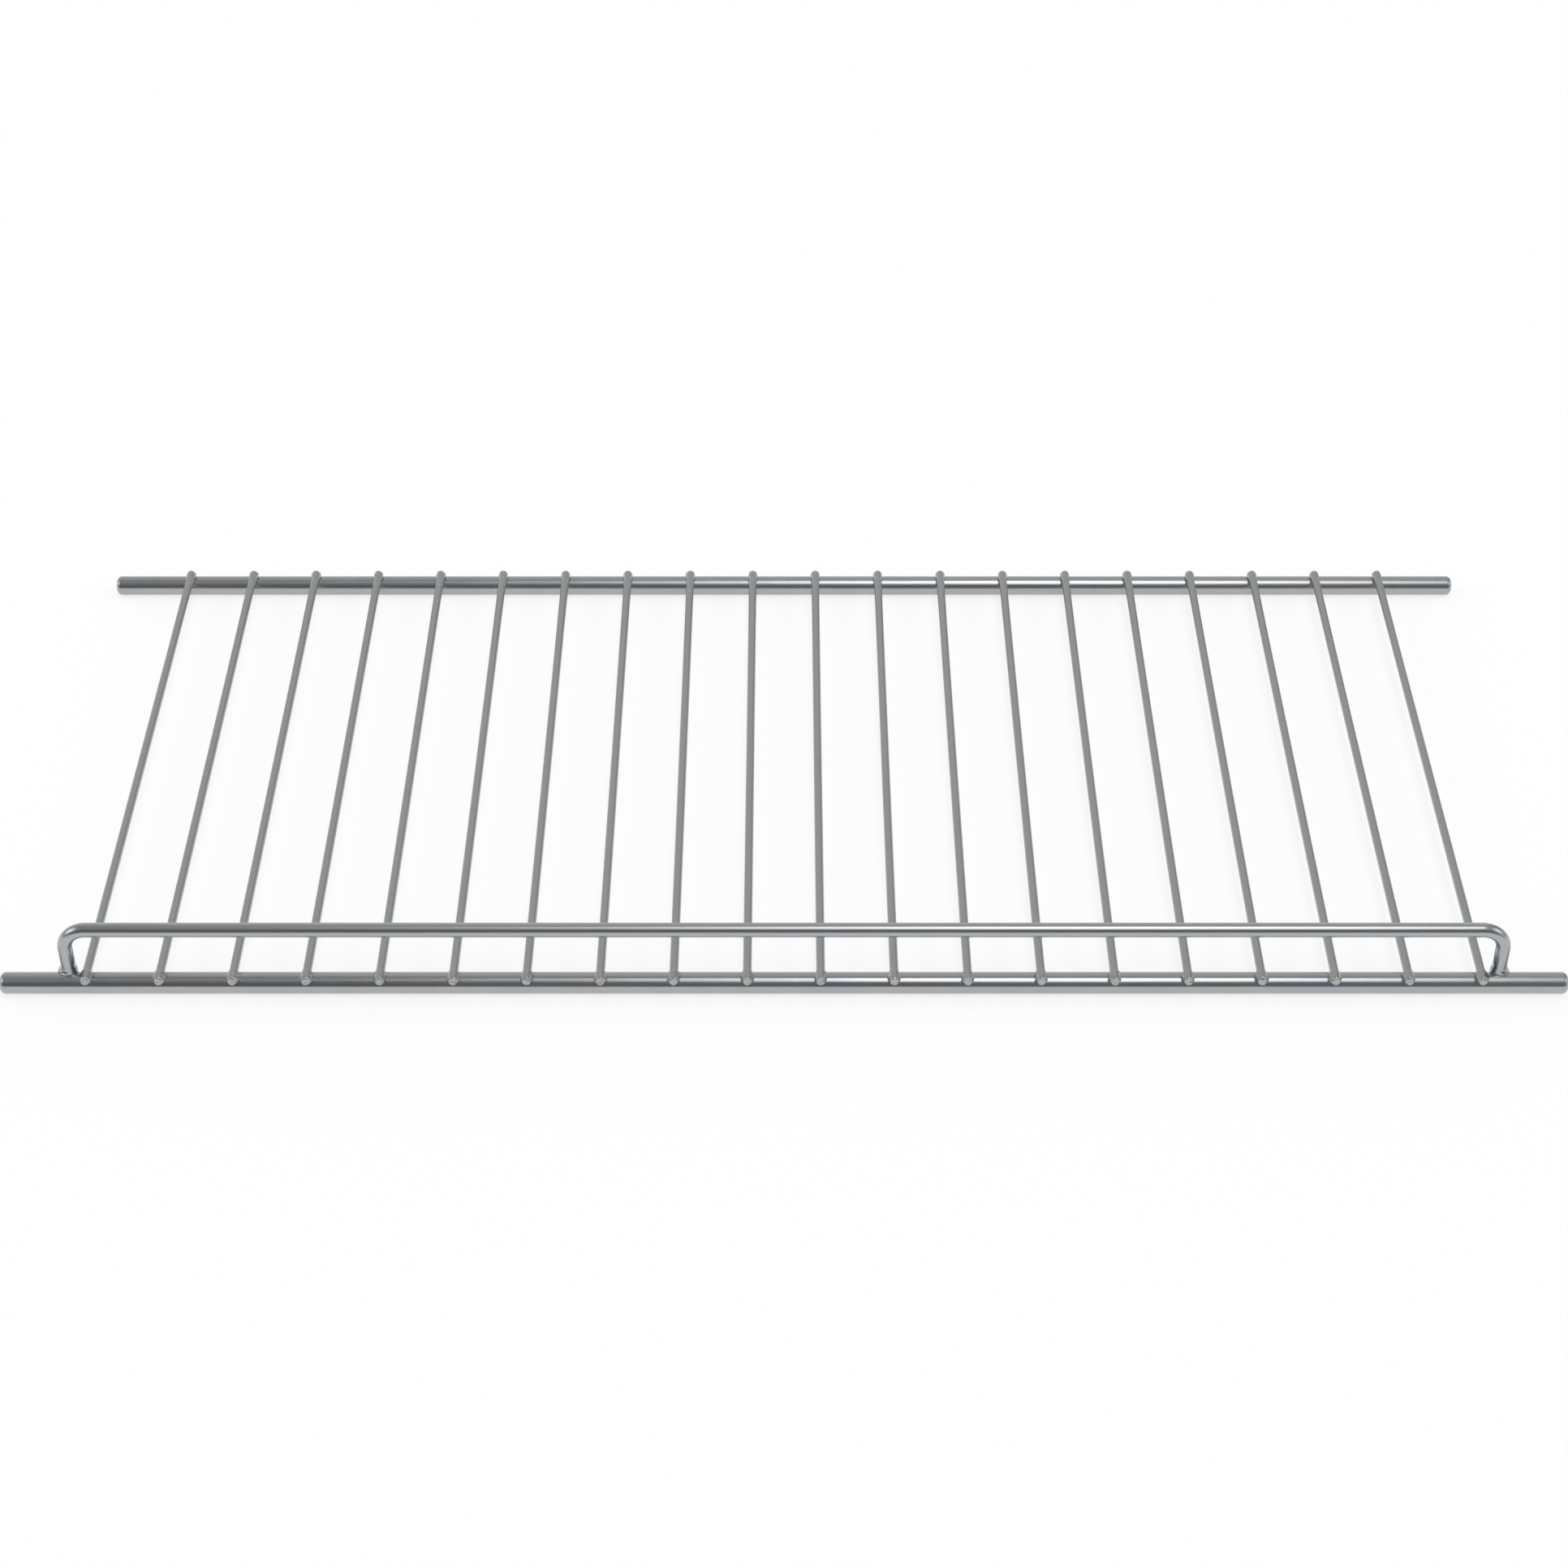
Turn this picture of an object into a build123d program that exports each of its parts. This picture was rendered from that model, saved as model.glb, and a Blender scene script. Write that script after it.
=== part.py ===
from build123d import *
from math import hypot
import os

# Welded wire shelf of a small refrigerator, in millimetres.
# +X runs along the two carrying rods, +Y from the front rod to the rear rod, +Z is up.
# The origin is midway between the rods, on the surface that they rest on.

# Carrying rods
ROD_DIAMETER = 6.0
ROD_LENGTH = 428.0
ROD_SPACING = 188.0  # front rod's centre to rear rod's centre
ROD_END_CHAMFER = 1.3

# Cross wires, sheared to length and welded on the crowns of both rods
WIRE_COUNT = 20
WIRE_DIAMETER = 2.4
WIRE_END_MARGIN = 24.0  # rod's end to the centre of the outermost wire
WIRE_SET_DOWN = 0.4  # how deep the weld sinks a wire into a rod
WIRE_FRONT_REACH = 4.2  # wire's end past the front rod's centre
WIRE_CUT_SETBACK = 0.55  # how far the shear's cut leans back, from its lower edge to its upper edge
WIRE_REAR_REACH = 1.2  # wire's end past the rear rod's centre
WIRE_WELD_SPREAD = 0.55  # weld metal beyond a wire's side, on the rod's crown
WIRE_WELD_LENGTH = 2.9  # weld metal along a wire

# Guard rail, bent from one wire and welded on the front rod
RAIL_DIAMETER = 4.0
RAIL_HEIGHT = 17.5  # rail's centre line above the rods' centre lines
RAIL_SETBACK = 2.0  # rail's centre line behind the front rod's centre line
RAIL_BEND = 6.5  # centre-line radius of both bends
RAIL_SET_DOWN = 1.5  # a leg's end below the rod's crown
RAIL_WELD_SPREAD = 0.4  # weld metal beyond a leg's side, on the rod's crown
RAIL_WELD_HEIGHT = 1.6  # weld metal up a leg, above the rod's crown
LEG_WIRE_GAP = 1.1  # between a leg's weld and the outermost wire's weld

rod_radius = ROD_DIAMETER / 2
rod_axis_z = rod_radius
rod_crown_z = ROD_DIAMETER
front_y = -ROD_SPACING / 2
rear_y = ROD_SPACING / 2

wire_radius = WIRE_DIAMETER / 2
wire_rise = wire_radius - WIRE_SET_DOWN
wire_axis_z = rod_crown_z + wire_rise
wire_front_y = front_y - WIRE_FRONT_REACH
wire_rear_y = rear_y + WIRE_REAR_REACH
wire_weld_radius = wire_radius + WIRE_WELD_SPREAD
outer_wire_x = ROD_LENGTH / 2 - WIRE_END_MARGIN
wire_pitch = 2 * outer_wire_x / (WIRE_COUNT - 1)

rail_radius = RAIL_DIAMETER / 2
rail_y = front_y + RAIL_SETBACK
rail_axis_z = rod_axis_z + RAIL_HEIGHT
leg_end_z = rod_crown_z - RAIL_SET_DOWN
rail_weld_radius = rail_radius + RAIL_WELD_SPREAD
leg_x = outer_wire_x + wire_weld_radius + LEG_WIRE_GAP + rail_weld_radius


def carrying_rod(y):
    """A straight rod along X that lies on the ground plane, with chamfered ends."""
    rod = Cylinder(rod_radius, ROD_LENGTH, rotation=(0, 90, 0))
    end_edges = rod.edges().filter_by(GeomType.CIRCLE)
    return Pos(0, y, rod_axis_z) * chamfer(end_edges, min(ROD_END_CHAMFER, 0.9 * rod_radius))


def weld_bead(rod_y):
    """Weld metal squeezed out beside a wire: it runs from the rod up to the wire's sides."""
    depth = (wire_weld_radius**2 - wire_radius**2 - wire_rise**2) / (2 * wire_rise)
    start_y = max(rod_y - WIRE_WELD_LENGTH / 2, wire_front_y)
    end_y = min(rod_y + WIRE_WELD_LENGTH / 2, wire_rear_y)
    bead_start = Plane((0, start_y, rod_crown_z - depth), z_dir=(0, 1, 0))
    return extrude(bead_start * Circle(hypot(wire_weld_radius, depth)), end_y - start_y)


def cross_wire(rods):
    """A thin wire along Y at x = 0, sheared at its front end and seated on the crowns of the rods."""
    front_end = Plane((0, wire_front_y, wire_axis_z), z_dir=(0, 1, 0))
    shear = Plane((0, wire_front_y, wire_axis_z - wire_radius), z_dir=(0, WIRE_DIAMETER, -WIRE_CUT_SETBACK))
    wire = extrude(front_end * Circle(wire_radius), wire_rear_y - wire_front_y)
    wire = split(wire, bisect_by=shear, keep=Keep.TOP)
    wire += [weld_bead(front_y), weld_bead(rear_y)]
    return wire - rods


def weld_collar(x):
    """Weld metal round the foot of a rail's leg, tapering up the leg from the rod's crown."""
    on_base = (Align.CENTER, Align.CENTER, Align.MIN)
    foot = Cylinder(rail_weld_radius, RAIL_SET_DOWN, align=on_base)
    taper = Cone(rail_weld_radius, rail_radius, RAIL_WELD_HEIGHT, align=on_base)
    return Pos(x, rail_y, leg_end_z) * (foot + Pos(0, 0, RAIL_SET_DOWN) * taper)


def guard_rail(rod):
    """The rail's straight run, two bends and two legs, which stand on the back of the rod's crown."""
    path = FilletPolyline(
        (-leg_x, rail_y, leg_end_z),
        (-leg_x, rail_y, rail_axis_z),
        (leg_x, rail_y, rail_axis_z),
        (leg_x, rail_y, leg_end_z),
        radius=RAIL_BEND,
    )
    section = Plane(path @ 0, z_dir=path % 0) * Circle(rail_radius)
    rail = sweep(section, path=path)
    rail += [weld_collar(-leg_x), weld_collar(leg_x)]
    return rail - rod


front_rod = carrying_rod(front_y)
rear_rod = carrying_rod(rear_y)
wire = cross_wire([front_rod, rear_rod])

nodes = {
    "front_rod": front_rod,
    "rear_rod": rear_rod,
    "front_rail": guard_rail(front_rod),
}
for index in range(WIRE_COUNT):
    nodes[f"cross_wire_{index + 1:02d}"] = Pos(index * wire_pitch - outer_wire_x, 0, 0) * wire

os.makedirs("parts", exist_ok=True)
for name, piece in nodes.items():
    export_step(piece.solid(), f"parts/{name}.step")
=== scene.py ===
"""Dresses a welded wire shelf of a small refrigerator: plated rods, guard rail, cross wires and welds."""

import logging
import math
from collections.abc import Callable, Iterator
from contextlib import contextmanager
from dataclasses import dataclass
from enum import Enum
from typing import Any

import bmesh
import bpy
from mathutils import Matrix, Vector


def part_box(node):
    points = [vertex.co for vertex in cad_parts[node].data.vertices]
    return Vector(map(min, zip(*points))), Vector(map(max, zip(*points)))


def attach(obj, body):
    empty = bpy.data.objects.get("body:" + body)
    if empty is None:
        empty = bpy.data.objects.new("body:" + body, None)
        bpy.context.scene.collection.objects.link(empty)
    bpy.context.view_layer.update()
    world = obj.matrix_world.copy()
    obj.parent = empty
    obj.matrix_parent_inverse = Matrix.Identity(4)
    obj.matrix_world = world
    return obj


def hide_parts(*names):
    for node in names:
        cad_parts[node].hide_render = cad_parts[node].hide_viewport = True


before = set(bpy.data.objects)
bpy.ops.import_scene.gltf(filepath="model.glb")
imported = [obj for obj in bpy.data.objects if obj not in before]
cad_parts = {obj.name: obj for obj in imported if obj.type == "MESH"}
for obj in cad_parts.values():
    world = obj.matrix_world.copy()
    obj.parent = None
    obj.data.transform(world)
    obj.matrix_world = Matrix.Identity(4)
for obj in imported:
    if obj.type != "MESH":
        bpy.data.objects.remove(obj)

LOG = logging.getLogger("wire_shelf")
MM = 0.001
BODY = "root"
MERGE_DISTANCE = 0.002 * MM
PLACE_TOLERANCE = 0.01 * MM
CREASE_ANGLE = math.radians(38)

# Sockets of the Mix node when it mixes colours; its names are shared by several kinds of value.
MIX_FACTOR = 0
MIX_FROM = 6
MIX_TO = 7
MIX_RESULT = 2


class Element(Enum):
    """The kinds of mesh element that an edit picks."""

    EDGE = "edges"
    FACE = "faces"


class Slot(Enum):
    """The record's material slots."""

    ROD = "plated_rod"
    WIRE = "plated_wire"


class Mark(Enum):
    """Names of the values that a piece stores on its points for its finish to read."""

    DRAWN = "drawn"
    WELD = "weld"


def linear(code: str) -> tuple[float, float, float, float]:
    """Turns an sRGB colour into linear light.

    Args:
        code: the colour as six hex digits.

    Returns:
        Red, green, blue and an alpha of 1.
    """
    shares = [int(code[start:start + 2], 16) / 255 for start in (0, 2, 4)]
    red, green, blue = [s / 12.92 if s <= 0.04045 else ((s + 0.055) / 1.055) ** 2.4 for s in shares]
    return red, green, blue, 1.0


def ease(low: float, high: float, value: float) -> float:
    """Rises smoothly from 0 at one value to 1 at another.

    Args:
        low: where the result is 0.
        high: where the result is 1; it may be the smaller of the two.
        value: the place to read.

    Returns:
        A share from 0 to 1.
    """
    share = min(1.0, max(0.0, (value - low) / (high - low)))
    return share * share * (3 - 2 * share)


def add_node(
    tree: bpy.types.NodeTree,
    kind: str,
    links: dict[str | int, bpy.types.NodeSocket] | None = None,
    values: dict[str | int, Any] | None = None,
    **settings: Any,
) -> bpy.types.Node:
    """Adds one node with its settings and links.

    Args:
        tree: the material's or world's nodes.
        kind: the node's type.
        links: outputs to join to the node's inputs, by the input's name or number.
        values: constants for the node's inputs, by name or number.
        settings: the node's own options.

    Returns:
        The new node.
    """
    node = tree.nodes.new(kind)
    for name, value in settings.items():
        setattr(node, name, value)
    for socket, value in (values or {}).items():
        node.inputs[socket].default_value = value
    for socket, source in (links or {}).items():
        tree.links.new(source, node.inputs[socket])
    return node


def make_active(piece: bpy.types.Object) -> None:
    """Selects one object alone, because an operator acts on all that is selected.

    Args:
        piece: the object to work on.
    """
    bpy.ops.object.select_all(action="DESELECT")
    piece.select_set(True)
    bpy.context.view_layer.objects.active = piece


@contextmanager
def editing(piece: bpy.types.Object) -> Iterator[None]:
    """Holds one object in edit mode.

    Args:
        piece: the object to edit.

    Returns:
        A context that leaves edit mode at its end.
    """
    make_active(piece)
    bpy.ops.object.mode_set(mode="EDIT")
    yield
    bpy.ops.object.mode_set(mode="OBJECT")


def pick(element: Element, test: Callable[[Vector], bool]) -> None:
    """Selects mesh elements by their place, in edit mode.

    Args:
        element: the kind of element to select.
        test: says whether a point is in; an element is in when all its points are.
    """
    bpy.ops.mesh.select_mode(type=element.name)
    bpy.ops.mesh.select_all(action="DESELECT")
    data = bpy.context.active_object.data
    mesh = bmesh.from_edit_mesh(data)
    for item in getattr(mesh, element.value):
        item.select_set(all(test(point.co) for point in item.verts))
    mesh.select_flush_mode()
    bmesh.update_edit_mesh(data)


def add_ring(radius: float, sides: int, place: Vector, turn: tuple[float, float, float]) -> bpy.types.Object:
    """Adds an open ring of edges, from which a wire is drawn out.

    Args:
        radius: the ring's radius.
        sides: its number of sides.
        place: its centre.
        turn: its rotation from lying flat.

    Returns:
        The ring, with its place in its mesh.
    """
    bpy.ops.object.select_all(action="DESELECT")
    bpy.ops.mesh.primitive_circle_add(vertices=sides, radius=radius, location=place, rotation=turn)
    bpy.ops.object.transform_apply()
    return bpy.context.active_object


def draw_out(step: Vector) -> None:
    """Extrudes the selected ring by one step, in edit mode.

    Args:
        step: the way and the distance.
    """
    bpy.ops.mesh.extrude_region_move(TRANSFORM_OT_translate={"value": tuple(step)})


def apply_modifier(piece: bpy.types.Object, kind: str, **settings: Any) -> None:
    """Adds a modifier to a piece and applies it.

    Args:
        piece: the object to change.
        kind: the modifier's type.
        settings: its options.
    """
    modifier = piece.modifiers.new(kind.lower(), kind)
    for name, value in settings.items():
        setattr(modifier, name, value)
    make_active(piece)
    bpy.ops.object.modifier_apply(modifier=modifier.name)


def close_up(piece: bpy.types.Object) -> None:
    """Merges doubled points, turns all faces outwards and smooths what isn't an edge.

    Args:
        piece: the object to finish.
    """
    with editing(piece):
        bpy.ops.mesh.select_mode(type="VERT")
        bpy.ops.mesh.select_all(action="SELECT")
        bpy.ops.mesh.remove_doubles(threshold=MERGE_DISTANCE)
        bpy.ops.mesh.normals_make_consistent(inside=False)
    bpy.ops.object.shade_smooth_by_angle(angle=CREASE_ANGLE)


def write_mark(piece: bpy.types.Object, mark: Mark, value: Callable[[Vector], Any]) -> None:
    """Stores a value on each point of a piece.

    Args:
        piece: the object to mark.
        mark: the value's name.
        value: gives a number, or a vector, for a point's place.
    """
    points = [vertex.co for vertex in piece.data.vertices]
    is_vector = mark is Mark.DRAWN
    kind = "FLOAT_VECTOR" if is_vector else "FLOAT"
    store = piece.data.attributes.new(mark.value, kind, "POINT")
    for slot, point in zip(store.data, points):
        setattr(slot, "vector" if is_vector else "value", value(point))


@dataclass(frozen=True)
class ZincPlate:
    """Bright zinc plate with a clear blue passivation on cold-drawn steel.

    The plate copies the fine lines that the drawing die left along the steel, so its gloss is satin
    across the wire. The passivation film gives the grey a faint blue or straw cast in wide patches,
    and weld metal under the plate is crumbly and glints.
    """

    name: str
    tone: str
    pale_tone: str
    blue_cast: str
    straw_cast: str
    weld_tone: str
    smoothest: float
    roughest: float
    line_width: float = 0.3 * MM  # real lines are ten times finer, and would not show
    line_length: float = 45 * MM
    line_depth: float = 0.003 * MM
    patch_size: float = 5 * MM
    cast_size: float = 26 * MM
    ripple_size: float = 9 * MM
    ripple_depth: float = 0.02 * MM
    crumb_size: float = 0.6 * MM
    crumb_depth: float = 0.24 * MM
    weld_roughness: float = -0.08  # fused metal is glossier than drawn metal
    cast_share: float = 0.6
    blue_band: tuple[float, float] = (0.5, 0.7)  # from none to most of a cast, in values of its noise
    straw_band: tuple[float, float] = (0.48, 0.3)
    line_band: tuple[float, float] = (0.3, 0.7)  # most values of the lines' noise lie in it
    grain_detail: float = 3.0
    patch_detail: float = 4.0
    slow_detail: float = 1.0

    def material(self) -> bpy.types.Material:
        """Makes the finish.

        Returns:
            The material, which reads the marks on the piece's points.
        """
        material = bpy.data.materials.new(self.name)
        material.use_nodes = True
        tree = material.node_tree
        tree.nodes.clear()
        drawn = add_node(tree, "ShaderNodeAttribute", attribute_name=Mark.DRAWN.value).outputs["Vector"]
        weld = add_node(tree, "ShaderNodeAttribute", attribute_name=Mark.WELD.value).outputs["Fac"]
        along = 1 / self.line_length
        across = 1 / self.line_width
        stretched = add_node(
            tree, "ShaderNodeMapping", {"Vector": drawn}, {"Scale": (along, across, across)}
        ).outputs["Vector"]
        lines, crumbs = [
            add_node(
                tree,
                "ShaderNodeTexNoise",
                {"Vector": place},
                {"Scale": scale, "Detail": self.grain_detail},
            ).outputs["Fac"]
            for place, scale in ((stretched, 1.0), (drawn, 1 / self.crumb_size))
        ]
        colour = self.add_colour(tree, drawn, weld, crumbs)
        roughness = self.add_roughness(tree, lines, weld)
        normal = self.add_relief(tree, drawn, lines, weld, crumbs)
        shader = add_node(
            tree,
            "ShaderNodeBsdfPrincipled",
            {"Base Color": colour, "Roughness": roughness, "Normal": normal},
            {"Metallic": 1.0},
        )
        add_node(tree, "ShaderNodeOutputMaterial", {"Surface": shader.outputs["BSDF"]})
        return material

    def add_colour(
        self,
        tree: bpy.types.NodeTree,
        drawn: bpy.types.NodeSocket,
        weld: bpy.types.NodeSocket,
        crumbs: bpy.types.NodeSocket,
    ) -> bpy.types.NodeSocket:
        """Adds the plate's colour: cloudy grey, faint casts and paler crumbs of weld metal.

        Args:
            tree: the material's nodes.
            drawn: the place along and across the wire.
            weld: how much of the surface is weld metal.
            crumbs: the weld's fine grain.

        Returns:
            The colour.
        """
        patches, cast = [
            add_node(
                tree, "ShaderNodeTexNoise", {"Vector": drawn}, {"Scale": 1 / size, "Detail": detail}
            ).outputs["Fac"]
            for size, detail in ((self.patch_size, self.patch_detail), (self.cast_size, self.slow_detail))
        ]
        grey = add_node(
            tree,
            "ShaderNodeMix",
            {MIX_FACTOR: patches},
            {MIX_FROM: linear(self.tone), MIX_TO: linear(self.pale_tone)},
            data_type="RGBA",
        ).outputs[MIX_RESULT]
        blue_share, straw_share = [
            add_node(
                tree,
                "ShaderNodeMapRange",
                {"Value": cast},
                {"From Min": none, "From Max": most, "To Max": self.cast_share},
            ).outputs["Result"]
            for none, most in (self.blue_band, self.straw_band)
        ]
        bluish = add_node(
            tree,
            "ShaderNodeMix",
            {MIX_FACTOR: blue_share, MIX_FROM: grey},
            {MIX_TO: linear(self.blue_cast)},
            data_type="RGBA",
        ).outputs[MIX_RESULT]
        plated = add_node(
            tree,
            "ShaderNodeMix",
            {MIX_FACTOR: straw_share, MIX_FROM: bluish},
            {MIX_TO: linear(self.straw_cast)},
            data_type="RGBA",
        ).outputs[MIX_RESULT]
        crumbled = add_node(
            tree, "ShaderNodeMath", {0: weld, 1: crumbs}, operation="MULTIPLY"
        ).outputs["Value"]
        return add_node(
            tree,
            "ShaderNodeMix",
            {MIX_FACTOR: crumbled, MIX_FROM: plated},
            {MIX_TO: linear(self.weld_tone)},
            data_type="RGBA",
        ).outputs[MIX_RESULT]

    def add_roughness(
        self, tree: bpy.types.NodeTree, lines: bpy.types.NodeSocket, weld: bpy.types.NodeSocket
    ) -> bpy.types.NodeSocket:
        """Adds the gloss, which varies from line to line and rises on welds.

        Args:
            tree: the material's nodes.
            lines: the drawn lines.
            weld: how much of the surface is weld metal.

        Returns:
            The roughness.
        """
        least, most = self.line_band
        satin = add_node(
            tree,
            "ShaderNodeMapRange",
            {"Value": lines},
            {"From Min": least, "From Max": most, "To Min": self.smoothest, "To Max": self.roughest},
        ).outputs["Result"]
        return add_node(
            tree, "ShaderNodeMath", {0: weld, 2: satin}, {1: self.weld_roughness}, operation="MULTIPLY_ADD"
        ).outputs["Value"]

    def add_relief(
        self,
        tree: bpy.types.NodeTree,
        drawn: bpy.types.NodeSocket,
        lines: bpy.types.NodeSocket,
        weld: bpy.types.NodeSocket,
        crumbs: bpy.types.NodeSocket,
    ) -> bpy.types.NodeSocket:
        """Adds the relief: slow ripples of straightened wire, drawn lines and crumbly welds.

        Args:
            tree: the material's nodes.
            drawn: the place along and across the wire.
            lines: the drawn lines.
            weld: how much of the surface is weld metal.
            crumbs: the weld's fine grain.

        Returns:
            The surface's direction.
        """
        ripples = add_node(
            tree,
            "ShaderNodeTexNoise",
            {"Vector": drawn},
            {"Scale": 1 / self.ripple_size, "Detail": self.slow_detail},
        ).outputs["Fac"]
        rippled = add_node(
            tree, "ShaderNodeBump", {"Height": ripples}, {"Distance": self.ripple_depth}
        ).outputs["Normal"]
        lined = add_node(
            tree, "ShaderNodeBump", {"Height": lines, "Normal": rippled}, {"Distance": self.line_depth}
        ).outputs["Normal"]
        return add_node(
            tree,
            "ShaderNodeBump",
            {"Height": crumbs, "Strength": weld, "Normal": lined},
            {"Distance": self.crumb_depth},
        ).outputs["Normal"]


ROD_PLATE = ZincPlate(
    name="bright_zinc_plate_on_drawn_rod",
    tone="A8ABAD",
    pale_tone="B3B6B9",
    blue_cast="A8ABB3",
    straw_cast="B1B1AC",
    weld_tone="BCBDB9",
    smoothest=0.2,
    roughest=0.28,
)
WIRE_PLATE = ZincPlate(
    name="bright_zinc_plate_on_thin_drawn_wire",
    tone="A6A9A9",
    pale_tone="B0B3B2",
    blue_cast="A5A8AE",
    straw_cast="ACACA6",
    weld_tone="BCBDB9",
    smoothest=0.32,
    roughest=0.42,
    line_width=0.2 * MM,
    cast_size=40 * MM,
)


@dataclass(frozen=True)
class RoughMetal:
    """Metal that a weld has squeezed out or a shear has torn: a swelling with lumps and crumbs on it."""

    swelling: float
    lump_size: float = 1.7 * MM
    lump_height: float = 0.8 * MM
    crumb_size: float = 0.5 * MM
    crumb_height: float = 0.3 * MM

    def roughen(self, piece: bpy.types.Object, share: Callable[[Vector], float]) -> None:
        """Swells and roughens part of a piece.

        Args:
            piece: the object to change, with its place in its mesh.
            share: how rough a point is, from 0 to 1.
        """
        name = Mark.WELD.value
        group = piece.vertex_groups.new(name=name)
        for vertex in piece.data.vertices:
            weight = share(vertex.co)
            if weight > 0:
                group.add([vertex.index], weight, "REPLACE")
        apply_modifier(piece, "DISPLACE", vertex_group=name, mid_level=0.0, strength=self.swelling)
        for size, height in ((self.lump_size, self.lump_height), (self.crumb_size, self.crumb_height)):
            clouds = bpy.data.textures.new("weld_clouds", "CLOUDS")
            clouds.noise_scale = size
            apply_modifier(
                piece, "DISPLACE", texture=clouds, vertex_group=name, mid_level=0.5, strength=height
            )
            bpy.data.textures.remove(clouds)
        piece.vertex_groups.remove(piece.vertex_groups[name])


@dataclass
class CarryingRod:
    """A straight rod along X, with rolled-over ends, that lies on the ground."""

    node: str
    finish: bpy.types.Material
    radius: float = 3.0 * MM
    sides: int = 72
    end_rounding: float = 1.5 * MM
    end_segments: int = 7
    end_dish_width: float = 0.5 * MM
    end_dish_depth: float = 0.15 * MM

    def build(self) -> bpy.types.Object:
        """Models the rod.

        Returns:
            The rod, in the place of its node.
        """
        low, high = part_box(self.node)
        middle = Vector(((low.x + high.x) / 2, (low.y + high.y) / 2, self.radius))
        reach = (high.x - low.x) / 2
        bpy.ops.object.select_all(action="DESELECT")
        bpy.ops.mesh.primitive_cylinder_add(
            vertices=self.sides,
            radius=self.radius,
            depth=2 * reach,
            location=middle,
            rotation=(0, math.pi / 2, 0),
        )
        bpy.ops.object.transform_apply()
        rod = bpy.context.active_object
        rod.name = f"{self.node}_plated"
        with editing(rod):
            for end in (-1, 1):
                end_x = middle.x + end * reach
                pick(Element.EDGE, lambda point: abs(point.x - end_x) < PLACE_TOLERANCE)
                bpy.ops.mesh.bevel(offset=self.end_rounding, segments=self.end_segments, affect="EDGES")
                pick(Element.FACE, lambda point: abs(point.x - end_x) < PLACE_TOLERANCE)
                bpy.ops.mesh.inset(thickness=self.end_dish_width)
                bpy.ops.transform.translate(value=(-end * self.end_dish_depth, 0, 0))
        close_up(rod)
        return rod

    def dress(self, rod: bpy.types.Object) -> None:
        """Gives the rod its finish and its place in the frame.

        Args:
            rod: the finished mesh.
        """
        write_mark(rod, Mark.DRAWN, lambda point: point)
        rod.data.materials.append(self.finish)
        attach(rod, BODY)
        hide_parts(self.node)


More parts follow.
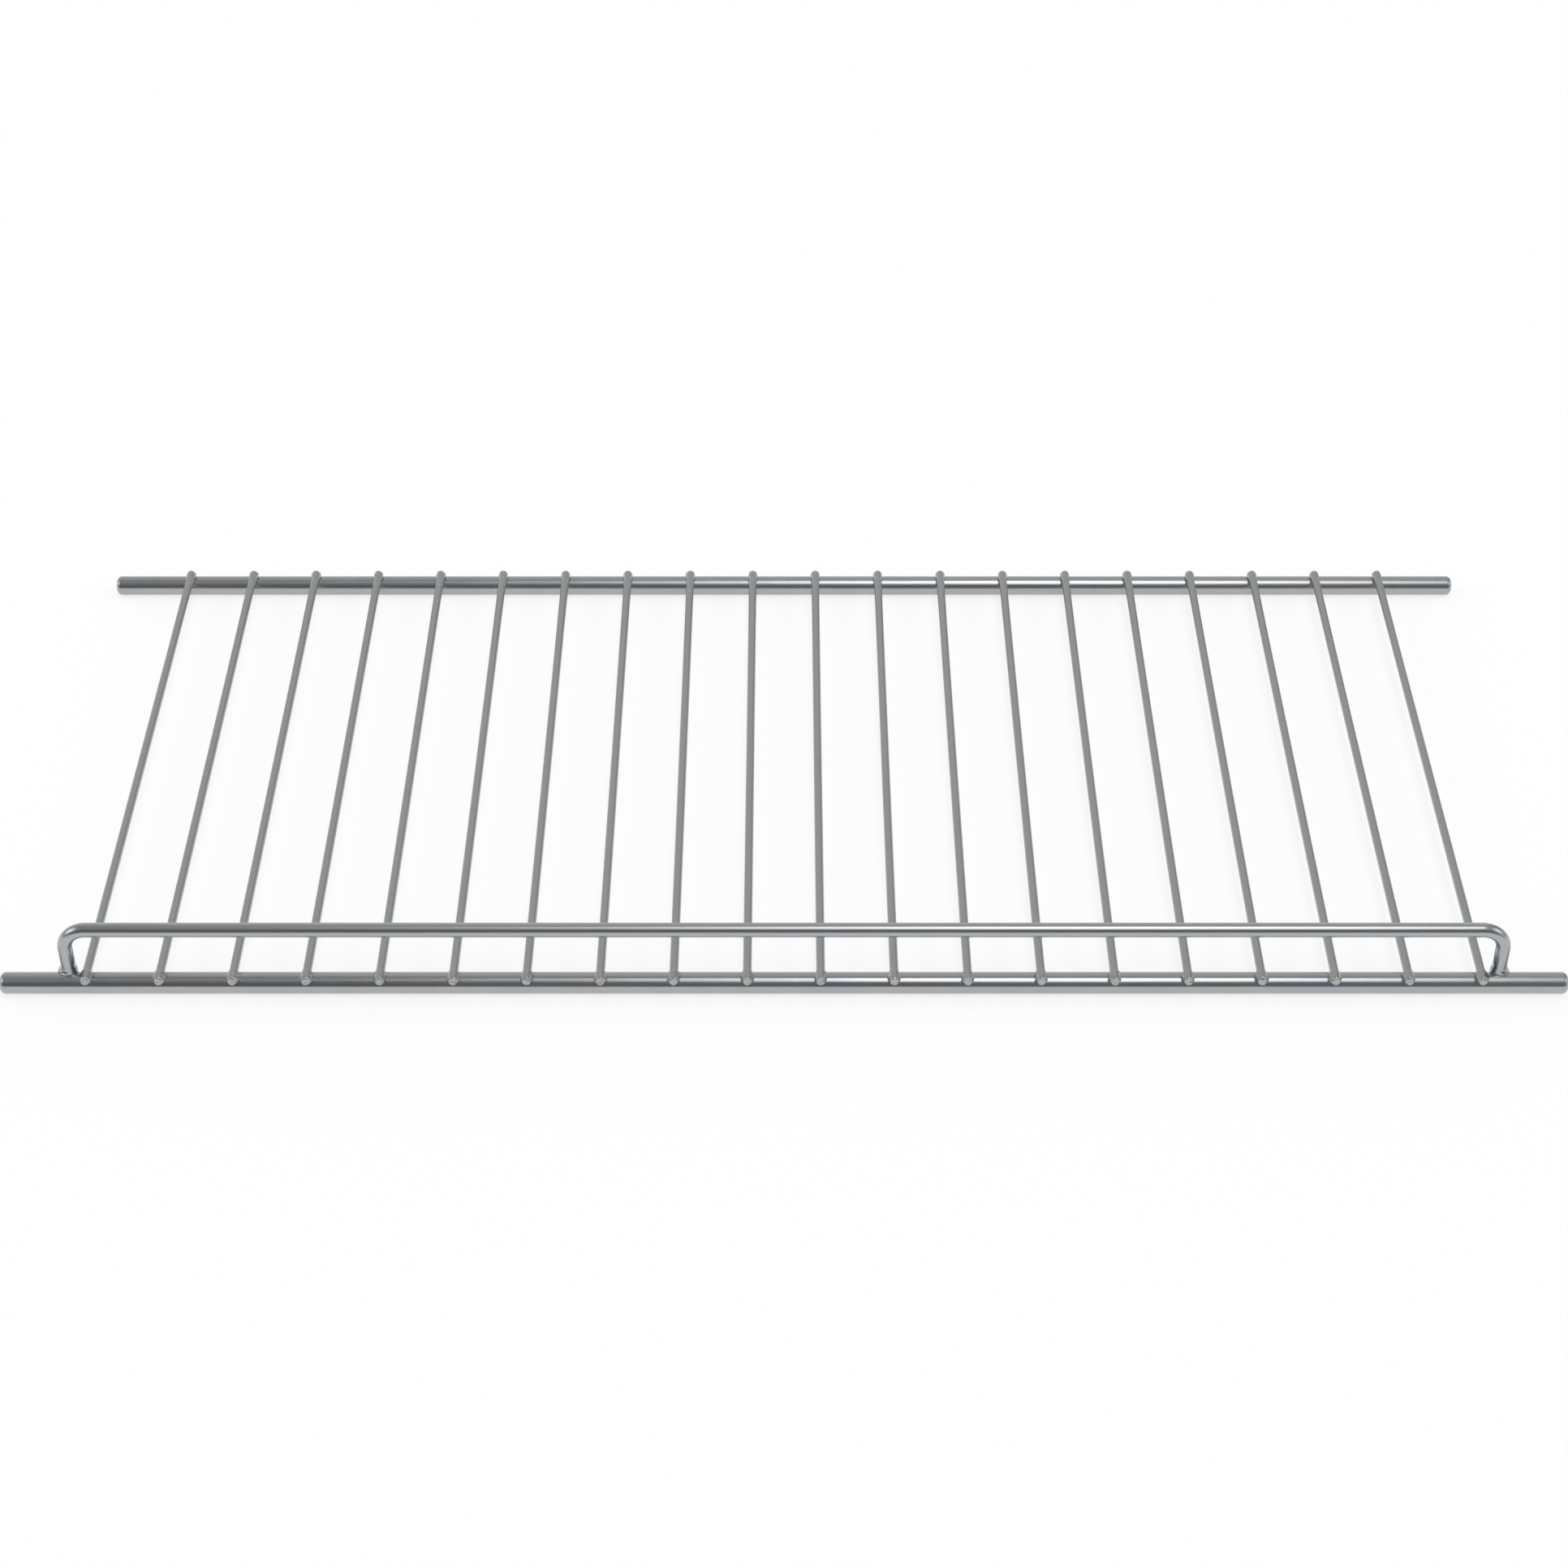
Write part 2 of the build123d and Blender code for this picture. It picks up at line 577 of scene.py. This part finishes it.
@dataclass
class GuardRail:
    """The front rail: one wire bent to a wide U, whose legs stand on the back of the front rod's crown."""

    node: str
    finish: bpy.types.Material
    rod: bpy.types.Object
    radius: float = 2.0 * MM
    bend: float = 6.5 * MM
    sides: int = 48
    bend_steps: int = 20
    flash: RoughMetal = RoughMetal(swelling=0.9 * MM)
    flash_spread: float = 0.4 * MM
    flash_height: float = 1.7 * MM
    flash_ring: float = 0.18 * MM
    flash_margin: float = 1.5  # how high the close rings go above the rod's crown, in flash heights
    outer_band: tuple[float, float] = (-0.2, 0.9)  # from least to full flash, in radii outwards
    inner_share: float = 0.4

    def __post_init__(self) -> None:
        """Takes the rail's place from its node."""
        low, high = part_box(self.node)
        self.y = (low.y + high.y) / 2
        self.foot_z = low.z
        self.axis_z = high.z - self.radius
        self.leg_x = high.x - self.radius - self.flash_spread
        self.crown_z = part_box("front_rod")[1].z

    def build(self) -> bpy.types.Object:
        """Models the rail by drawing a ring up a leg, round a bend, along the run and down again.

        Returns:
            The rail, in the place of its node.
        """
        foot = Vector((-self.leg_x, self.y, self.foot_z))
        rail = add_ring(self.radius, self.sides, foot, (0, 0, 0))
        rail.name = f"{self.node}_plated"
        bend_z = self.axis_z - self.bend
        bend_x = self.leg_x - self.bend
        flash_top = self.crown_z + self.flash_margin * self.flash_height
        rings = round((flash_top - self.foot_z) / self.flash_ring)
        small_step = Vector((0, 0, (flash_top - self.foot_z) / rings))
        long_step = Vector((0, 0, bend_z - flash_top))
        quarter = {"steps": self.bend_steps, "angle": -math.pi / 2, "axis": (0, 1, 0)}
        with editing(rail):
            bpy.ops.mesh.select_all(action="SELECT")
            for _ in range(rings):
                draw_out(small_step)
            draw_out(long_step)
            bpy.ops.mesh.spin(center=(-bend_x, self.y, bend_z), **quarter)
            draw_out(Vector((2 * bend_x, 0, 0)))
            bpy.ops.mesh.spin(center=(bend_x, self.y, bend_z), **quarter)
            draw_out(-long_step)
            for _ in range(rings):
                draw_out(-small_step)
            for end in (-1, 1):
                pick(
                    Element.EDGE,
                    lambda point: abs(point.z - self.foot_z) < PLACE_TOLERANCE and point.x * end > 0,
                )
                bpy.ops.mesh.edge_face_add()
        close_up(rail)
        self.flash.roughen(rail, self.weld_share)
        apply_modifier(rail, "BOOLEAN", operation="DIFFERENCE", solver="EXACT", object=self.rod)
        close_up(rail)
        return rail

    def weld_share(self, point: Vector) -> float:
        """Says how much a point is part of a leg's weld, which curls up on the leg's outer side.

        Args:
            point: a place on the rail.

        Returns:
            A share from 0 to 1.
        """
        low = ease(self.crown_z + self.flash_height, self.crown_z, point.z)
        outward = (abs(point.x) - self.leg_x) / self.radius
        return low * (self.inner_share + (1 - self.inner_share) * ease(*self.outer_band, outward))

    def drawn(self, point: Vector) -> Vector:
        """Unrolls the bent wire.

        Args:
            point: a place on the rail.

        Returns:
            The length along the wire, and the place across it in two directions.
        """
        side = math.copysign(1, point.x)
        run = self.leg_x - self.bend
        over = abs(point.x) - run
        rise = point.z - (self.axis_z - self.bend)
        if over <= 0:
            return Vector((point.x, point.y, rise - self.bend))
        if rise <= 0:
            return Vector((side * (run + self.bend * math.pi / 2 - rise), point.y, over - self.bend))
        turn = math.atan2(over, rise)
        return Vector((side * (run + self.bend * turn), point.y, math.hypot(over, rise) - self.bend))

    def dress(self, rail: bpy.types.Object) -> None:
        """Gives the rail its finish and its place in the frame.

        Args:
            rail: the finished mesh.
        """
        write_mark(rail, Mark.DRAWN, self.drawn)
        write_mark(rail, Mark.WELD, self.weld_share)
        rail.data.materials.append(self.finish)
        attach(rail, BODY)
        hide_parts(self.node)


@dataclass
class CrossWires:
    """The row of thin wires, sheared at the front and welded on the crowns of both rods."""

    nodes: list[str]
    finish: bpy.types.Material
    rods: list[bpy.types.Object]
    rod_lines: list[float]
    radius: float = 1.2 * MM
    sides: int = 44
    cut_setback: float = 0.55 * MM
    rim: float = 0.22 * MM
    rim_segments: int = 3
    flash: RoughMetal = RoughMetal(swelling=0.5 * MM, crumb_height=0.4 * MM)
    flash_reach: float = 2.3 * MM
    flash_full: float = 1.1 * MM
    flash_lean: float = 1.5 * MM  # how far the front welds lie before the rod's crown
    flash_ring: float = 0.19 * MM
    flash_band: tuple[float, float] = (0.6, -0.2)  # from none to full flash, in radii above the axis
    top_share: float = 0.2
    rear_share: float = 0.55
    torn_band: tuple[float, float] = (2.0, 0.4)  # from whole to torn, in rims behind the front cut
    cut_rings: int = 5
    cut_ring_width: float = 0.17 * MM
    tear: RoughMetal = RoughMetal(
        swelling=-0.17 * MM,
        lump_size=0.9 * MM,
        lump_height=0.26 * MM,
        crumb_size=0.4 * MM,
        crumb_height=0.07 * MM,
    )

    def __post_init__(self) -> None:
        """Takes the wires' common section and ends from the first node."""
        low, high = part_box(self.nodes[0])
        self.front_end = low.y
        self.rear_end = high.y
        self.axis_z = high.z - self.radius
        front_line, rear_line = self.rod_lines
        self.weld_lines = [front_line - self.flash_lean, rear_line]
        self.shear_foot = Vector((0, self.front_end, self.axis_z - self.radius))
        self.shear_way = Vector((0, 2 * self.radius, -self.cut_setback)).normalized()

    def stations(self) -> list[float]:
        """Lists where the wire has rings: close together at the welds.

        Returns:
            Places along Y, from before the front cut to past the rear cut.
        """
        count = math.ceil(2 * self.flash_reach / self.flash_ring)
        steps = [2 * self.flash_reach * index / count - self.flash_reach for index in range(count + 1)]
        places = [line + step for line in self.weld_lines for step in steps]
        start = self.front_end + self.cut_setback + 2 * self.rim
        end = self.rear_end - 2 * self.rim
        inner = sorted(y for y in places if start < y < end)
        return [self.front_end - self.rim, *inner, self.rear_end + self.rim]

    def build_first(self) -> bpy.types.Object:
        """Models one bare wire at x = 0.

        Returns:
            The wire, with broken edges at its cut ends and no welds yet.
        """
        start = Vector((0, self.front_end - self.rim, self.axis_z))
        rear_end = Vector((0, self.rear_end, self.axis_z))
        wire = add_ring(self.radius, self.sides, start, (math.pi / 2, 0, 0))
        places = self.stations()
        with editing(wire):
            bpy.ops.mesh.select_all(action="SELECT")
            for before, after in zip(places, places[1:]):
                draw_out(Vector((0, after - before, 0)))
            for foot, way in ((rear_end, Vector((0, -1, 0))), (self.shear_foot, self.shear_way)):
                bpy.ops.mesh.select_all(action="SELECT")
                bpy.ops.mesh.bisect(plane_co=foot, plane_no=way, clear_inner=True, use_fill=True)
                pick(Element.EDGE, lambda point: abs((point - foot).dot(way)) < PLACE_TOLERANCE)
                bpy.ops.mesh.bevel(offset=self.rim, segments=self.rim_segments, affect="EDGES")
            pick(Element.FACE, lambda point: abs(self.depth(point)) < PLACE_TOLERANCE)
            for _ in range(self.cut_rings):
                bpy.ops.mesh.inset(thickness=self.cut_ring_width)
        close_up(wire)
        return wire

    def depth(self, point: Vector) -> float:
        """Gives how far a point of a wire lies behind the front cut."""
        return (point - self.shear_foot).dot(self.shear_way)

    def torn_share(self, point: Vector) -> float:
        """Gives how much a point of a wire is part of the torn face of the front cut."""
        whole, torn = self.torn_band
        return ease(whole * self.rim, torn * self.rim, self.depth(point))

    def weld_share(self, point: Vector) -> float:
        """Says how much a point of a wire is part of a weld: near a rod, and most of all low on the wire.

        Args:
            point: a place on a wire.

        Returns:
            A share from 0 to 1.
        """
        front, rear = [
            ease(self.flash_reach, self.flash_full, abs(point.y - line)) for line in self.weld_lines
        ]
        near = front + self.rear_share * rear
        low = ease(*self.flash_band, (point.z - self.axis_z) / self.radius)
        return near * (self.top_share + (1 - self.top_share) * low)

    def worn_share(self, point: Vector) -> float:
        """Gives how crumbly a point of a wire is, from its weld and its front cut."""
        return max(self.weld_share(point), self.torn_share(point))

    def build(self) -> list[bpy.types.Object]:
        """Copies the first wire to every node and welds each copy in its own way.

        Returns:
            The wires, in the order of their nodes.
        """
        first = self.build_first()
        wires = []
        for node in self.nodes:
            low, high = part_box(node)
            wire = first.copy()
            wire.data = first.data.copy()
            wire.name = f"{node}_plated"
            bpy.context.collection.objects.link(wire)
            wire.location.x = (low.x + high.x) / 2
            make_active(wire)
            bpy.ops.object.transform_apply()
            self.flash.roughen(wire, self.weld_share)
            self.tear.roughen(wire, self.torn_share)
            for rod in self.rods:
                apply_modifier(wire, "BOOLEAN", operation="DIFFERENCE", solver="EXACT", object=rod)
            close_up(wire)
            wires.append(wire)
        bpy.data.objects.remove(first)
        return wires

    def dress(self, wires: list[bpy.types.Object]) -> None:
        """Gives the wires their finish and their place in the frame.

        Args:
            wires: the finished meshes, in the order of their nodes.
        """
        for node, wire in zip(self.nodes, wires):
            write_mark(wire, Mark.DRAWN, lambda point: Vector((point.y, point.x, point.z)))
            write_mark(wire, Mark.WELD, self.worn_share)
            wire.data.materials.append(self.finish)
            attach(wire, BODY)
            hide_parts(node)


@dataclass(frozen=True)
class SoftBox:
    """A distant soft light: brightest in one direction, and fading to nothing at its edges."""

    way: tuple[float, float, float]
    reach: tuple[float, float, float]
    strength: float

    def add_to(self, tree: bpy.types.NodeTree, way: bpy.types.NodeSocket) -> bpy.types.NodeSocket:
        """Adds the light to the room.

        Args:
            tree: the world's nodes.
            way: the direction that is looked in.

        Returns:
            The light's strength in that direction.
        """
        offset = add_node(
            tree,
            "ShaderNodeMapping",
            {"Vector": way},
            {"Location": self.way, "Scale": self.reach},
            vector_type="TEXTURE",
        ).outputs["Vector"]
        distance = add_node(tree, "ShaderNodeVectorMath", {0: offset}, operation="LENGTH").outputs["Value"]
        return add_node(
            tree,
            "ShaderNodeMapRange",
            {"Value": distance},
            {"To Min": self.strength, "To Max": 0.0},
            interpolation_type="SMOOTHERSTEP",
        ).outputs["Result"]


@dataclass(frozen=True)
class Studio:
    """A pale floor under soft boxes, in a room that is bright behind the shelf and dim in front."""

    floor_size: float = 160.0
    floor_grey: str = "A2A2A2"
    floor_glow: float = 0.74
    dim_front: float = 0.21
    overhead: float = 0.42
    bright_back: float = 0.71
    dim_back_right: float = 0.32
    dim_left: float = 0.8
    front_band: tuple[float, float] = (-0.95, -0.25)  # along Y, from dim_front to overhead
    back_band: tuple[float, float] = (0.0, 0.85)  # along Y, from overhead to the back
    left_band: tuple[float, float] = (-0.25, 0.0)  # along X, from dim_left to full light
    right_band: tuple[float, float] = (0.35, 0.75)  # along X, from bright_back to dim_back_right
    soft_boxes: tuple[SoftBox, ...] = (
        SoftBox(way=(0.13, -0.23, 0.95), reach=(0.28, 0.57, 3.0), strength=3.4),
        SoftBox(way=(-0.85, -0.1, 0.5), reach=(0.5, 0.6, 0.5), strength=1.8),
        SoftBox(way=(0.85, -0.1, 0.5), reach=(0.5, 0.6, 0.5), strength=1.4),
    )

    def build_floor(self) -> None:
        """Lays the floor, which shows white to the eye and in the metal and keeps soft shadows."""
        bpy.ops.object.select_all(action="DESELECT")
        bpy.ops.mesh.primitive_plane_add(size=self.floor_size)
        floor = bpy.context.active_object
        floor.name = "floor"
        material = bpy.data.materials.new("matt_white_paper")
        material.use_nodes = True
        tree = material.node_tree
        tree.nodes.clear()
        paper = add_node(
            tree, "ShaderNodeBsdfDiffuse", values={"Color": linear(self.floor_grey)}
        ).outputs["BSDF"]
        path = add_node(tree, "ShaderNodeLightPath").outputs
        seen = add_node(
            tree, "ShaderNodeMath", {0: path["Is Camera Ray"], 1: path["Is Glossy Ray"]}, operation="MAXIMUM"
        ).outputs["Value"]
        shown = add_node(
            tree, "ShaderNodeMath", {0: seen, 1: path["Is Transmission Ray"]}, operation="MAXIMUM"
        ).outputs["Value"]
        glow = add_node(
            tree, "ShaderNodeMath", {0: shown}, {1: self.floor_glow}, operation="MULTIPLY"
        ).outputs["Value"]
        light = add_node(tree, "ShaderNodeEmission", {"Strength": glow}).outputs["Emission"]
        both = add_node(tree, "ShaderNodeAddShader", {0: paper, 1: light}).outputs["Shader"]
        add_node(tree, "ShaderNodeOutputMaterial", {"Surface": both})
        floor.data.materials.append(material)

    def build_light(self) -> None:
        """Lights the room and hangs the soft boxes."""
        world = bpy.data.worlds.new("room")
        world.use_nodes = True
        tree = world.node_tree
        tree.nodes.clear()
        way = add_node(tree, "ShaderNodeTexCoord").outputs["Generated"]
        axes = add_node(tree, "ShaderNodeSeparateXYZ", {"Vector": way}).outputs
        front, side, back = [
            add_node(
                tree,
                "ShaderNodeMapRange",
                {"Value": axes[axis]},
                {"From Min": band[0], "From Max": band[1], "To Min": first, "To Max": last},
                interpolation_type="SMOOTHSTEP",
            ).outputs["Result"]
            for axis, band, first, last in (
                ("Y", self.front_band, self.dim_front, self.overhead),
                ("X", self.left_band, self.dim_left, 1.0),
                ("X", self.right_band, self.bright_back, self.dim_back_right),
            )
        ]
        dimmed = add_node(tree, "ShaderNodeMath", {0: front, 1: side}, operation="MULTIPLY").outputs["Value"]
        level = add_node(
            tree,
            "ShaderNodeMapRange",
            {"Value": axes["Y"], "To Min": dimmed, "To Max": back},
            {"From Min": self.back_band[0], "From Max": self.back_band[1]},
            interpolation_type="SMOOTHSTEP",
        ).outputs["Result"]
        for soft_box in self.soft_boxes:
            light = soft_box.add_to(tree, way)
            level = add_node(tree, "ShaderNodeMath", {0: level, 1: light}, operation="ADD").outputs["Value"]
        room = add_node(tree, "ShaderNodeBackground", {"Strength": level}, {"Color": linear("FFFFFF")})
        add_node(tree, "ShaderNodeOutputWorld", {"Surface": room.outputs["Background"]})
        bpy.context.scene.world = world


@dataclass(frozen=True)
class Viewpoint:
    """The photographer's place: straight in front of the shelf, looking down on it."""

    lens: float = 70.0
    sensor: float = 36.0
    pitch: float = math.radians(38.91)
    distance: float = 900.5 * MM
    aim: tuple[float, float, float] = (0.0, -7.5 * MM, 3.0 * MM)

    def build(self) -> None:
        """Sets the camera up."""
        camera = bpy.data.cameras.new("camera")
        camera.lens = self.lens
        camera.sensor_width = self.sensor
        stand = bpy.data.objects.new("camera", camera)
        back = Vector((0, -math.cos(self.pitch), math.sin(self.pitch)))
        stand.location = Vector(self.aim) + self.distance * back
        stand.rotation_euler = (math.pi / 2 - self.pitch, 0, 0)
        bpy.context.collection.objects.link(stand)
        bpy.context.scene.camera = stand


def report(pieces: list[bpy.types.Object]) -> None:
    """Logs each finished piece.

    Args:
        pieces: the finished meshes.
    """
    for piece in pieces:
        LOG.info("%s: %d faces", piece.name, len(piece.data.polygons))


def main() -> None:
    """Builds and dresses the shelf, then sets up the studio and the camera."""
    logging.basicConfig(level=logging.INFO, format="%(name)s: %(message)s")
    bpy.context.scene.view_settings.view_transform = "Standard"
    rod_plate = ROD_PLATE.material()
    wire_plate = WIRE_PLATE.material()

    rod_nodes = ("front_rod", "rear_rod")
    rods = []
    for node in rod_nodes:
        carrying_rod = CarryingRod(node, rod_plate)
        rod = carrying_rod.build()
        carrying_rod.dress(rod)
        rods.append(rod)
    report(rods)

    guard_rail = GuardRail("front_rail", rod_plate, rods[0])
    rail = guard_rail.build()
    guard_rail.dress(rail)
    report([rail])

    wire_nodes = sorted(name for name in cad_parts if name.startswith("cross_wire"))
    rod_lines = [sum(corner.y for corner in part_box(node)) / 2 for node in rod_nodes]
    cross_wires = CrossWires(wire_nodes, wire_plate, rods, rod_lines)
    wires = cross_wires.build()
    cross_wires.dress(wires)
    report(wires)

    studio = Studio()
    studio.build_floor()
    studio.build_light()
    Viewpoint().build()


if __name__ == "__main__":
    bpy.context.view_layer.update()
    main()
